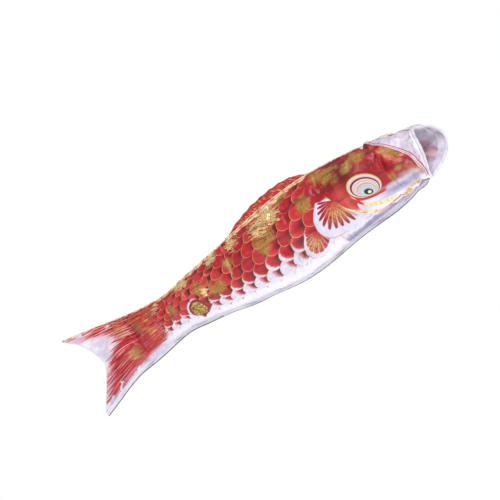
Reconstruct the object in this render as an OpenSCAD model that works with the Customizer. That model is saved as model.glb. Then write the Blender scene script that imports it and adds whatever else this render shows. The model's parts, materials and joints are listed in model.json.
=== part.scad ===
// Carp streamer: a fabric fish that fills with wind through a hooped mouth.
// Head towards +X, tail towards -X, back towards +Z, origin at the centre of the mouth hoop.
// The cloth tube bends sideways at three places, so it is cut into four sections there,
// and the back fin flops to either side about the line where it is sewn on.

/* [Mouth] */
// Radius of the hoop's centre line
hoop_r = 56; // [55:0.5:57]
// Radius of the hoop's rod
rod_r = 1.75; // [1.5:0.05:1.8]
// Lean of the mouth's plane, upper lip forward, in degrees
mouth_tilt = 11; // [6:1:14]
// Depth of the plain cloth band behind the hoop
band_depth = 18; // [16:0.5:18]
// Radius of the hole in each bridle eyelet
eyelet_hole_r = 2.5; // [2:0.1:2.6]

/* [Cloth] */
// Thickness of the cloth's solid
wall = 1.6; // [1.2:0.1:2]
// Height of the piping along the back seam
piping_h = 3; // [2:0.5:4]
// Height of the sewn flange along the belly
flange_h = 9; // [5:1:12]
// Width of the folded hem round the end of the tail
hem_w = 6; // [4:1:8]

/* [Back fin] */
// Front end of the fin's sewn edge
fin_front = -242; // [-255:1:-240]
// Rear end of the fin's sewn edge
fin_rear = -487; // [-488:1:-460]
// Tallest point of the fin above the back
fin_h = 24; // [15:1:35]
// Number of scallops along the fin's free edge
fin_scallops = 9; // [5:1:12]

/* [Sideways bends] */
// Position of the neck bend
neck_x = -230; // [-236:1:-220]
// Largest sideways bend at the neck
neck_bend = 15; // [5:1:16]
// Position of the waist bend
waist_x = -495; // [-510:1:-492]
// Largest sideways bend at the waist
waist_bend = 20; // [5:1:22]
// Position of the bend at the tail's root
tail_x = -689; // [-700:1:-680]
// Largest sideways bend at the tail's root
tail_bend = 25; // [5:1:28]

/* [Tail] */
// How far behind the fork the upper lobe reaches
upper_lobe = 52; // [30:1:60]
// How far behind the fork the lower lobe reaches
lower_lobe = 76; // [50:1:85]

/* [Hidden] */

// Stations along the body: position, top, bottom, half width
STATIONS = [
    [-18, 58.4, -51.5, 56],   // back edge of the mouth band
    [-35, 64, -53, 55.5],     // chin
    [-75, 77, -59, 55],       // eye
    [-230, 96.5, -73.5, 54],  // shoulder
    [-360, 93.5, -85.5, 52],  // deepest belly
    [-495, 76, -70.5, 44],    // waist
    [-632, 58, -46, 30],
    [-689, 50, -42, 23],      // narrowest point
    [-795, 59.5, -56, 15],    // root of the lobes
    [-842, 71, -63, 12],
    [-905, 91, -101, 7]       // end of the tail, measured at the fork
];
TOP = 1;
BOTTOM = 2;
WIDTH = 3;

casing_bore_r = 2.95;
casing_r = 3.6;
sleeve_bore_r = rod_r + 0.05;
sleeve_r = 2.6;
sleeve_angle = 26;
hoop_gap_angle = 2;
band_clear = 0.2;
eyelet_tube_r = eyelet_hole_r + 0.7;
eyelet_flange_r = eyelet_hole_r + 2.3;
eyelet_flange_t = 0.7;
eyelet_back = 11;
seam_half = 0.5;
panel_edge = 0.7;
cut_gap = 0.8;
fork_s = STATIONS[10][0];
lobe_root_s = STATIONS[8][0];
chin_s = STATIONS[1][0];
panel_front_s = -band_depth - 0.8;
mouth_fade_s = -80;
hem_proud = 0.5;
fin_clear = 0.6;
scallop_depth = 1.2;
PANEL_RINGS = 10;
PANEL_SIDES = 14;
SEAM_STEPS = 18;
FIN_STEPS = 72;
ROUND = 96;

CLOTH_RED = "firebrick";
CLOTH_WHITE = "lavender";
CLOTH_GOLD = "goldenrod";

// ---- The body's surface ----

// Number of the station just in front of position s
function station_before(s, i = 0) =
    i >= len(STATIONS) - 2 || s >= STATIONS[i + 1][0] ? i : station_before(s, i + 1);

// Slope of a station column at station i, from its neighbours on both sides
function station_slope(column, i) =
    let (a = max(i - 1, 0), b = min(i + 1, len(STATIONS) - 1))
    (STATIONS[b][column] - STATIONS[a][column]) / (STATIONS[b][0] - STATIONS[a][0]);

// Smooth curve through a station column
function profile(column, s) =
    let (i = station_before(s),
         p = STATIONS[i],
         q = STATIONS[i + 1],
         length = q[0] - p[0],
         t = (s - p[0]) / length)
    (2 * t ^ 3 - 3 * t ^ 2 + 1) * p[column]
    + (t ^ 3 - 2 * t ^ 2 + t) * length * station_slope(column, i)
    + (3 * t ^ 2 - 2 * t ^ 3) * q[column]
    + (t ^ 3 - t ^ 2) * length * station_slope(column, i + 1);

// How far the surface moves along X so that the mouth leans
function mouth_shift(s, z) =
    z * tan(mouth_tilt) * max(0, (s - mouth_fade_s) / (-band_depth - mouth_fade_s)) ^ 1.5;

// How far the tail's surface moves back to form the two lobes; angle is 0 at the back
function lobe_shift(s, angle) =
    let (t = max(0, (s - lobe_root_s) / (fork_s - lobe_root_s)),
         high = cos(angle) > 0,
         reach = high ? upper_lobe : lower_lobe)
    -reach * abs(cos(angle)) ^ (high ? 2.2 : 1.2) * t ^ 2;

// Point of the cloth on the right side, inset from its outer face
function skin_point(s, angle, inset) =
    let (top = profile(TOP, s),
         bottom = profile(BOTTOM, s),
         z = (top + bottom) / 2 + ((top - bottom) / 2 - inset) * cos(angle),
         y = -(profile(WIDTH, s) - inset) * sin(angle))
    [s + mouth_shift(s, z) + lobe_shift(s, angle), y, z];

// Room left beside a bend, so that the sections meet at its limit
function bend_cut(bend, y) = cut_gap + abs(y) * tan(bend / 2);

// One point of a panel between stations a and b, cut back beside the bends at its ends; t runs back, u round
function panel_point(a, b, bend_a, bend_b, t, u, inset) =
    let (s = a + (b - a) * t,
         width = profile(WIDTH, s),
         edge_angle = asin(panel_edge / (width - wall)),
         angle = edge_angle + (180 - 2 * edge_angle) * u,
         y = width * sin(angle),
         cut_a = bend_a > 0 ? bend_cut(bend_a, y) : 0,
         cut_b = bend_b > 0 ? bend_cut(bend_b, y) : 0)
    skin_point(s - cut_a * (1 - t) + cut_b * t, angle, inset);

// Half tube of cloth on the right side, from station a back to station b
module panel_right(a, b, bend_a, bend_b, rings, outer_inset = 0, inner_inset = wall) {
    sides = PANEL_SIDES;
    row = sides + 1;
    layer = row * (rings + 1);
    outer = [for (i = [0:rings]) for (k = [0:sides])
        panel_point(a, b, bend_a, bend_b, i / rings, k / sides, outer_inset)];
    inner = [for (i = [0:rings]) for (k = [0:sides])
        panel_point(a, b, bend_a, bend_b, i / rings, k / sides, inner_inset)];
    faces = [
        for (i = [0:rings - 1]) for (k = [0:sides - 1]) let (p = i * row + k) each [
            [p, p + row, p + 1],
            [p + 1, p + row, p + row + 1],
            [layer + p, layer + p + 1, layer + p + row],
            [layer + p + 1, layer + p + row + 1, layer + p + row]],
        for (k = [0:sides - 1]) let (q = rings * row + k) each [
            [k, k + 1, layer + k],
            [k + 1, layer + k + 1, layer + k],
            [q, layer + q, q + 1],
            [q + 1, layer + q, layer + q + 1]],
        for (i = [0:rings - 1]) let (p = i * row, q = p + sides) each [
            [p, layer + p, p + row],
            [layer + p, layer + p + row, p + row],
            [q, q + row, layer + q],
            [layer + q, q + row, layer + q + row]]];
    polyhedron(points = concat(outer, inner), faces = faces, convexity = 6);
}

module other_side() {
    mirror([0, 1, 0]) children();
}

// Flat upright strip in the plane of symmetry, between two lists of [x, z] points
module upright_strip(lower, upper) {
    outline = concat(lower, [for (i = [len(upper) - 1:-1:0]) upper[i]]);
    rotate([90, 0, 0])
        linear_extrude(height = 2 * seam_half, center = true)
            polygon(outline);
}

// Point of the back (angle 0) or belly (angle 180) line, raised outwards by an amount
function seam_point(s, angle, raise) =
    let (p = skin_point(s, angle, 0)) [p[0], p[2] + raise * cos(angle)];

module back_piping(a, b) {
    steps = [for (i = [0:SEAM_STEPS]) a + (b - a) * i / SEAM_STEPS];
    upright_strip([for (s = steps) seam_point(s, 0, -wall)],
                  [for (s = steps) seam_point(s, 0, piping_h)]);
}

// The flange starts low behind the chin and soon reaches its full height
module belly_flange(a, b) {
    steps = [for (i = [0:SEAM_STEPS]) a + (b - a) * i / SEAM_STEPS];
    upright_strip([for (s = steps) seam_point(s, 180, -wall)],
                  [for (s = steps) seam_point(s, 180, flange_h * min(1, 0.2 + (chin_s - s) / 100))]);
}

// ---- Mouth ----

// Puts a piece that is turned about Z on the leaning mouth: local +Z becomes forward, local -X up
module on_mouth() {
    rotate([0, 90 + mouth_tilt, 0]) children();
}

module mouth_hoop() {
    color("white")
        on_mouth()
            rotate([0, 0, hoop_gap_angle / 2])
                rotate_extrude(angle = 360 - hoop_gap_angle, $fn = ROUND)
                    translate([hoop_r, 0]) circle(r = rod_r, $fn = 32);
}

// Tube that joins the two ends of the hoop's rod at the bottom of the mouth
module hoop_sleeve() {
    color("silver")
        on_mouth()
            rotate([0, 0, -sleeve_angle / 2])
                rotate_extrude(angle = sleeve_angle, $fn = ROUND)
                    translate([hoop_r, 0])
                        difference() {
                            circle(r = sleeve_r, $fn = 32);
                            circle(r = sleeve_bore_r, $fn = 32);
                        }
}

// Hem of the mouth, rolled round the hoop
module hoop_casing() {
    color(CLOTH_WHITE)
        on_mouth()
            rotate_extrude($fn = ROUND)
                translate([hoop_r, 0])
                    difference() {
                        circle(r = casing_r, $fn = 32);
                        circle(r = casing_bore_r, $fn = 32);
                    }
}

// Points a piece drawn along Z outwards through the band, at its top (side -1) or bottom (side 1)
module through_band(side) {
    translate([0, 0, -eyelet_back]) rotate([0, side * 90, 0]) children();
}

module mouth_band() {
    color(CLOTH_WHITE)
        on_mouth()
            difference() {
                translate([0, 0, -band_depth])
                    difference() {
                        cylinder(r = hoop_r + wall / 2, h = band_depth - casing_r - band_clear, $fn = ROUND);
                        translate([0, 0, -1])
                            cylinder(r = hoop_r - wall / 2, h = band_depth, $fn = ROUND);
                    }
                for (side = [-1, 1])
                    through_band(side)
                        translate([0, 0, hoop_r - 5])
                            cylinder(r = eyelet_tube_r + 0.1, h = 10, $fn = 48);
            }
}

module bridle_eyelet(side) {
    outer_face = hoop_r + wall / 2 + 0.05;
    inner_face = sqrt((hoop_r - wall / 2) ^ 2 - eyelet_flange_r ^ 2) - 0.05;
    length = outer_face - inner_face + 2 * eyelet_flange_t;
    color("silver")
        on_mouth()
            through_band(side)
                translate([0, 0, inner_face - eyelet_flange_t])
                    difference() {
                        union() {
                            cylinder(r = eyelet_tube_r, h = length, $fn = 48);
                            cylinder(r = eyelet_flange_r, h = eyelet_flange_t, $fn = 48);
                            translate([0, 0, length - eyelet_flange_t])
                                cylinder(r = eyelet_flange_r, h = eyelet_flange_t, $fn = 48);
                        }
                        translate([0, 0, -1])
                            cylinder(r = eyelet_hole_r, h = length + 2, $fn = 48);
                    }
}

// ---- Cloth sections ----

module head_panel() {
    color(CLOTH_RED) panel_right(panel_front_s, neck_x, 0, neck_bend, PANEL_RINGS);
}

module trunk_panel() {
    color(CLOTH_RED) panel_right(neck_x, waist_x, neck_bend, waist_bend, PANEL_RINGS);
}

module rear_panel() {
    color(CLOTH_RED) panel_right(waist_x, tail_x, waist_bend, tail_bend, PANEL_RINGS);
}

module tail_panel() {
    color(CLOTH_RED) panel_right(tail_x, fork_s + hem_w + 0.3, tail_bend, 0, PANEL_RINGS);
}

module tail_hem() {
    color(CLOTH_WHITE)
        panel_right(fork_s + hem_w, fork_s, 0, 0, 2, -hem_proud, wall + hem_proud);
}

module section_piping(a, b) {
    color(CLOTH_GOLD) back_piping(a, b);
}

module section_flange(a, b) {
    color(CLOTH_WHITE) belly_flange(a, b);
}

// Height of the fin above the back: steep in front, long and low behind, with a scalloped edge
function fin_height(t) =
    let (plain = fin_h * (1 - t ^ 4.5) * (1 - (1 - t) ^ 8))
    plain - scallop_depth * abs(cos(180 * fin_scallops * t)) * plain / fin_h;

module dorsal_fin() {
    base = piping_h + fin_clear;
    steps = [for (i = [0:FIN_STEPS]) i / FIN_STEPS];
    color(CLOTH_RED)
        upright_strip(
            [for (t = steps) seam_point(fin_front + (fin_rear - fin_front) * t, 0, base)],
            [for (t = steps) seam_point(fin_front + (fin_rear - fin_front) * t, 0,
                                        base + 0.5 + max(0, fin_height(t) - base))]);
}

mouth_hoop();
hoop_sleeve();
hoop_casing();
mouth_band();
bridle_eyelet(-1);  // top_bridle_eyelet
bridle_eyelet(1);  // bottom_bridle_eyelet
head_panel();  // head_panel_right
other_side() head_panel();  // head_panel_left
section_piping(panel_front_s, neck_x + cut_gap);  // head_back_piping
section_flange(chin_s, neck_x + cut_gap);  // head_belly_seam
trunk_panel();  // trunk_panel_right
other_side() trunk_panel();  // trunk_panel_left
section_piping(neck_x - cut_gap, waist_x + cut_gap);  // trunk_back_piping
section_flange(neck_x - cut_gap, waist_x + cut_gap);  // trunk_belly_seam
dorsal_fin();
rear_panel();  // rear_panel_right
other_side() rear_panel();  // rear_panel_left
section_piping(waist_x - cut_gap, tail_x + cut_gap);  // rear_back_piping
section_flange(waist_x - cut_gap, tail_x + cut_gap);  // rear_belly_seam
tail_panel();  // tail_panel_right
other_side() tail_panel();  // tail_panel_left
section_piping(tail_x - cut_gap, fork_s);  // tail_back_piping
section_flange(tail_x - cut_gap, fork_s);  // tail_belly_seam
tail_hem();  // tail_hem_right
other_side() tail_hem();  // tail_hem_left
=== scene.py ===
"""Looks of the carp streamer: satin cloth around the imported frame, in metres."""

import json
import math

import bpy
import numpy as np
from mathutils import Matrix, Vector

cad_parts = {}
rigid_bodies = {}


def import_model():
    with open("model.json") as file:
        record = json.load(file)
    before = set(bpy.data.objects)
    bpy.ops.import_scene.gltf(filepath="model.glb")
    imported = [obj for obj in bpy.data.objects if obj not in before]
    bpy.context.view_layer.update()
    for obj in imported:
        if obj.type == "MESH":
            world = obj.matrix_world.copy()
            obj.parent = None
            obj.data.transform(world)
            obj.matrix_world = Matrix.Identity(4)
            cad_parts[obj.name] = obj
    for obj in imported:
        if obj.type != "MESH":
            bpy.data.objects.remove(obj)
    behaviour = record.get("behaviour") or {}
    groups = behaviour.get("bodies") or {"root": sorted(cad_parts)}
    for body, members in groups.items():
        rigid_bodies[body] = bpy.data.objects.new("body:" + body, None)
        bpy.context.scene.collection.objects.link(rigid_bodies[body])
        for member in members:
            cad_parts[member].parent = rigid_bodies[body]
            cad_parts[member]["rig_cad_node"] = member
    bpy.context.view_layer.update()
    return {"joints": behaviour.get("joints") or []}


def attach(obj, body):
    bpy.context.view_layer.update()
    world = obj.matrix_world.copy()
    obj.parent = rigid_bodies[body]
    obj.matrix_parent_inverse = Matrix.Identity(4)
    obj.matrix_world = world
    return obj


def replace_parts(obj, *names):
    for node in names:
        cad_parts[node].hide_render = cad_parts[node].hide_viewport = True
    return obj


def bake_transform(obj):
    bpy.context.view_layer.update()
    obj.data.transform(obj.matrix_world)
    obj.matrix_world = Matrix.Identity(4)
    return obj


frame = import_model()

MM = 0.001

# ---- The body's shape, as in the CAD (millimetres) ----

# Position along the body, top, bottom, half width
STATIONS = np.array([
    (0, 55, -55, 56),           # mouth rim
    (-18, 58.4, -51.5, 56),     # back edge of the mouth band
    (-35, 64, -53, 55.5),       # chin
    (-75, 77, -59, 55),         # eye
    (-230, 96.5, -73.5, 54),    # shoulder
    (-360, 93.5, -85.5, 52),    # deepest belly
    (-495, 76, -70.5, 44),      # waist
    (-632, 58, -46, 30),
    (-689, 50, -42, 23),        # narrowest point
    (-795, 59.5, -56, 15),      # root of the lobes
    (-842, 71, -63, 12),
    (-905, 91, -101, 7),        # end of the tail, measured at the fork
], dtype=float)
TOP, BOTTOM, WIDTH = 1, 2, 3
RIM_S = -3.0                    # the cloth starts just behind the hem's roll
FORK_S = -905.0
LOBE_ROOT_S = -795.0
MOUTH_TILT = math.radians(11)
MOUTH_FADE_S = -80.0
BAND_S = -18.0
PRINT_LEAD = 20.0               # positions on the print are measured from this far ahead of the hoop
UPPER_LOBE, LOWER_LOBE = 52.0, 76.0
RIGHT_BULGE, LEFT_BULGE = 14.0, 47.0    # the rim's sides stand this far ahead of its top and bottom
NECK_S, WAIST_S, TAIL_S = (1000 * j["pos_m"][0] for j in frame["joints"][:3])
HALF_TRUNK_S = (NECK_S + WAIST_S) / 2
HALF_REAR_S = (WAIST_S + TAIL_S) / 2

# ---- Cloth grid ----
ALONG = 221                     # points from the rim to the fork
AROUND = 44                     # steps from the back seam to the belly seam
CLOTH_T = 0.35                  # thickness of the satin, mm
SIM_FRAMES = 16
SIM_CAP = 7.0                   # the simulation moves no point further than this, mm


def profile(column, s):
    """Smooth value of a station column at positions s, an array."""
    x, y = STATIONS[:, 0], STATIONS[:, column]
    slope = np.empty_like(y)
    slope[1:-1] = (y[2:] - y[:-2]) / (x[2:] - x[:-2])
    slope[0] = (y[1] - y[0]) / (x[1] - x[0])
    slope[-1] = (y[-1] - y[-2]) / (x[-1] - x[-2])
    i = np.clip(np.searchsorted(-x, -np.asarray(s), side="right") - 1, 0, len(x) - 2)
    length = x[i + 1] - x[i]
    t = (s - x[i]) / length
    return ((2 * t**3 - 3 * t**2 + 1) * y[i] + (t**3 - 2 * t**2 + t) * length * slope[i]
            + (3 * t**2 - 2 * t**3) * y[i + 1] + (t**3 - t**2) * length * slope[i + 1])


def smooth(x, lo, hi):
    """0 before lo, 1 after hi, and a smooth step between them."""
    t = np.clip((np.asarray(x, dtype=float) - lo) / (hi - lo), 0, 1)
    return t * t * (3 - 2 * t)


def arc_table(s):
    """Angles from back to belly, and the share of the half girth up to each, at one station."""
    height = (profile(TOP, s) - profile(BOTTOM, s)) / 2
    width = profile(WIDTH, s)
    angles = np.linspace(0, math.pi, 181)
    step = np.hypot(height * np.sin(angles), width * np.cos(angles))
    girth = np.concatenate([[0], np.cumsum((step[1:] + step[:-1]) / 2) * (angles[1] - angles[0])])
    return angles, girth


def skin_points(s, angle):
    """Points of the right side at positions s and angles, which are arrays of one shape."""
    top, bottom = profile(TOP, s), profile(BOTTOM, s)
    z = (top + bottom) / 2 + (top - bottom) / 2 * np.cos(angle)
    y = -profile(WIDTH, s) * np.sin(angle)
    lean = np.clip((s - MOUTH_FADE_S) / (BAND_S - MOUTH_FADE_S), 0, 1)**1.5
    x = s + z * math.tan(MOUTH_TILT) * lean
    x = x + RIGHT_BULGE * np.sin(angle)**2 * smooth(s, -70, 0)
    lobe = np.clip((s - LOBE_ROOT_S) / (FORK_S - LOBE_ROOT_S), 0, None)
    high = np.cos(angle) > 0
    reach = np.where(high, UPPER_LOBE, LOWER_LOBE)
    x = x - reach * np.abs(np.cos(angle))**np.where(high, 2.2, 1.2) * lobe**2
    return np.stack([x, y, z], axis=-1)


def side_grid():
    """The right side at rest, and its place on the print (position, height on the cloth, share)."""
    stations = np.linspace(RIM_S, FORK_S, ALONG)
    share = np.linspace(0, 1, AROUND + 1)
    angle = np.empty((ALONG, AROUND + 1))
    cloth = np.empty((ALONG, AROUND + 1))
    for row, s in enumerate(stations):
        angles, girth = arc_table(s)
        angle[row] = np.interp(share * girth[-1], girth, angles)
        cloth[row] = (0.5 - share) * girth[-1]
    s = np.repeat(stations[:, None], AROUND + 1, axis=1)
    shares = np.repeat(share[None, :], ALONG, axis=0)
    return skin_points(s, angle), np.stack([s - PRINT_LEAD, cloth, shares], axis=-1)


# ---- Small mesh tools ----

def new_object(name, points, faces, uvs=None, smooth_shading=True):
    """A mesh object from points in millimetres; uvs maps a layer's name to one pair per point."""
    mesh = bpy.data.meshes.new(name)
    mesh.from_pydata((np.asarray(points) * MM).tolist(), [], [list(map(int, f)) for f in faces])
    loop_points = np.empty(len(mesh.loops), dtype=np.int32)
    mesh.loops.foreach_get("vertex_index", loop_points)
    for layer_name, pairs in (uvs or {}).items():
        layer = mesh.uv_layers.new(name=layer_name)
        layer.data.foreach_set("uv", np.asarray(pairs)[loop_points].astype(np.float32).ravel())
    mesh.polygons.foreach_set("use_smooth", [smooth_shading] * len(mesh.polygons))
    mesh.update()
    obj = bpy.data.objects.new(name, mesh)
    bpy.context.scene.collection.objects.link(obj)
    return obj


def grid_faces(rows, columns, offset=0, closed=False, flip=False):
    """Quads of a grid of points; closed joins the last column to the first."""
    faces = []
    for i in range(rows - 1):
        for k in range(columns if closed else columns - 1):
            a = offset + i * columns + k
            b = offset + i * columns + (k + 1) % columns
            c, d = b + columns, a + columns
            faces.append((a, d, c, b) if flip else (a, b, c, d))
    return faces


def grid_normals(points):
    """Unit normals of a grid of points."""
    along = np.gradient(points, axis=0)
    around = np.gradient(points, axis=1)
    normal = np.cross(around, along)
    return normal / np.maximum(np.linalg.norm(normal, axis=-1, keepdims=True), 1e-9)


def shell(name, points, normals, uvs, thickness=CLOTH_T):
    """Cloth with two faces and closed edges: points are its outer face, normals point out of it."""
    rows, columns = points.shape[:2]
    count = rows * columns
    inner = points - normals * thickness
    cross = np.cross(points[1, 0] - points[0, 0], points[0, 1] - points[0, 0])
    flip = float(np.dot(cross, normals[0, 0])) > 0
    faces = grid_faces(rows, columns, 0, flip=flip) + grid_faces(rows, columns, count, flip=not flip)
    outer_faces = len(faces) // 2
    ring = ([k for k in range(columns)] + [i * columns + columns - 1 for i in range(1, rows)]
            + [(rows - 1) * columns + k for k in range(columns - 2, -1, -1)]
            + [i * columns for i in range(rows - 2, 0, -1)])
    for a, b in zip(ring, ring[1:] + ring[:1]):
        faces.append((a, b, b + count, a + count) if flip else (a, a + count, b + count, b))
    both = {key: np.concatenate([value.reshape(-1, 2)] * 2) for key, value in uvs.items()}
    obj = new_object(name, np.concatenate([points.reshape(-1, 3), inner.reshape(-1, 3)]), faces, both)
    material_index = np.zeros(len(faces), dtype=np.int32)
    material_index[outer_faces:] = 1
    obj.data.polygons.foreach_set("material_index", material_index)
    both_normals = np.concatenate([normals.reshape(-1, 3), -normals.reshape(-1, 3)])
    obj.data.normals_split_custom_set_from_vertices(both_normals.tolist())
    return obj


def refine(values, axis):
    """Doubles a grid's resolution along one axis with a smooth cubic curve."""
    values = np.moveaxis(values, axis, 0)
    before = np.concatenate([2 * values[:1] - values[1:2], values, 2 * values[-1:] - values[-2:-1]])
    middle = (9 * (before[1:-2] + before[2:-1]) - before[:-3] - before[3:]) / 16
    out = np.empty((2 * len(values) - 1,) + values.shape[1:])
    out[0::2] = values
    out[1::2] = middle
    return np.moveaxis(out, 0, axis)


# ---- Cloth simulation: the wind fills the tube ----

def fill_with_wind(bag):
    """Gives the sewn tube the cloth settings of light satin in a steady wind."""
    modifier = bag.modifiers.new("Cloth", "CLOTH")
    cloth = modifier.settings
    cloth.quality = 5
    cloth.mass = 0.12
    cloth.tension_stiffness = cloth.compression_stiffness = 12
    cloth.shear_stiffness = 4
    cloth.bending_stiffness = 0.02
    cloth.air_damping = 2
    cloth.vertex_group_mass = "held"
    cloth.use_pressure = True
    cloth.uniform_pressure_force = 1.6
    cloth.shrink_min = -0.035
    cloth.effector_weights.gravity = 0
    modifier.point_cache.frame_start = 1
    modifier.point_cache.frame_end = SIM_FRAMES


def simulate(right, left):
    """Fills the sewn tube with wind and returns how far each side's points moved."""
    ring = np.concatenate([right, left[:, -2:0:-1]], axis=1)
    rows, columns = ring.shape[:2]
    rest = ring.reshape(-1, 3)
    bag = new_object("wind_test", rest, grid_faces(rows, columns, closed=True, flip=True))
    held = bag.vertex_groups.new(name="held")
    index = np.arange(rows * columns).reshape(rows, columns)
    for rigid, points in ((1.0, index[:, 0]), (1.0, index[:, AROUND]), (1.0, index[:2].ravel()),
                          (0.9, index[-1])):
        held.add([int(p) for p in points], rigid, "REPLACE")
    fill_with_wind(bag)
    scene = bpy.context.scene
    for number in range(1, SIM_FRAMES + 1):
        scene.frame_set(number)
    settled = bag.evaluated_get(bpy.context.evaluated_depsgraph_get())
    points = np.empty(len(rest) * 3)
    settled.data.vertices.foreach_get("co", points)
    moved = points.reshape(-1, 3) / MM - rest
    scene.frame_set(1)
    bpy.data.objects.remove(bag, do_unlink=True)
    length = np.linalg.norm(moved, axis=1, keepdims=True)
    moved = (moved * np.minimum(1, SIM_CAP / np.maximum(length, 1e-6))).reshape(rows, columns, 3)
    right_moved = moved[:, :AROUND + 1]
    left_moved = np.concatenate([moved[:, :1], moved[:, :AROUND - 1:-1]], axis=1)
    return right_moved, left_moved


# ---- Material tools: values that vary over the cloth, built from nodes ----

class Value:
    """A number worked out at each point of a surface by shader nodes."""

    def __init__(self, tree, socket):
        self.tree = tree
        self.socket = socket

    def math(self, operation, *others):
        return math_node(self.tree, operation, self, *others)

    def __add__(self, other):
        return self.math("ADD", other)

    def __sub__(self, other):
        return self.math("SUBTRACT", other)

    def __rsub__(self, other):
        return math_node(self.tree, "SUBTRACT", other, self)

    def __mul__(self, other):
        return self.math("MULTIPLY", other)

    def __truediv__(self, other):
        return self.math("DIVIDE", other)

    def __neg__(self):
        return self.math("MULTIPLY", -1.0)

    def __abs__(self):
        return self.math("ABSOLUTE")

    def __pow__(self, exponent):
        return self.math("POWER", exponent)

    __radd__ = __add__
    __rmul__ = __mul__

    def at_least(self, other):
        return self.math("MAXIMUM", other)

    def at_most(self, other):
        return self.math("MINIMUM", other)

    def above(self, other):
        return self.math("GREATER_THAN", other)


def math_node(tree, operation, *inputs):
    node = tree.nodes.new("ShaderNodeMath")
    node.operation = operation
    for slot, value in zip(node.inputs, inputs):
        if isinstance(value, Value):
            tree.links.new(value.socket, slot)
        else:
            slot.default_value = value
    return Value(tree, node.outputs[0])


def step(value, lo, hi):
    """0 where the value is under lo, 1 over hi and smooth between; the other way round if lo > hi."""
    node = value.tree.nodes.new("ShaderNodeMapRange")
    node.interpolation_type = "SMOOTHSTEP"
    value.tree.links.new(value.socket, node.inputs["Value"])
    node.inputs["From Min"].default_value = lo
    node.inputs["From Max"].default_value = hi
    return Value(value.tree, node.outputs["Result"])


def pick(choice, a, b):
    """a where choice is 0, b where it is 1."""
    return a + (b - a) * choice


def srgb(red, green, blue):
    """A colour given as on a screen, 0 to 255, as linear light."""
    return tuple(c / 3294.6 if c <= 10.3 else ((c / 255 + 0.055) / 1.055)**2.4
                 for c in (red, green, blue)) + (1.0,)


SHARE_SCALE = 100.0             # cells from the back to the belly in a cloth's place vector
FLAT = 1.0e6                    # a cell so long that the noise doesn't change along it
WEAVE_PITCH = 0.9               # two threads of the satin, mm


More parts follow.
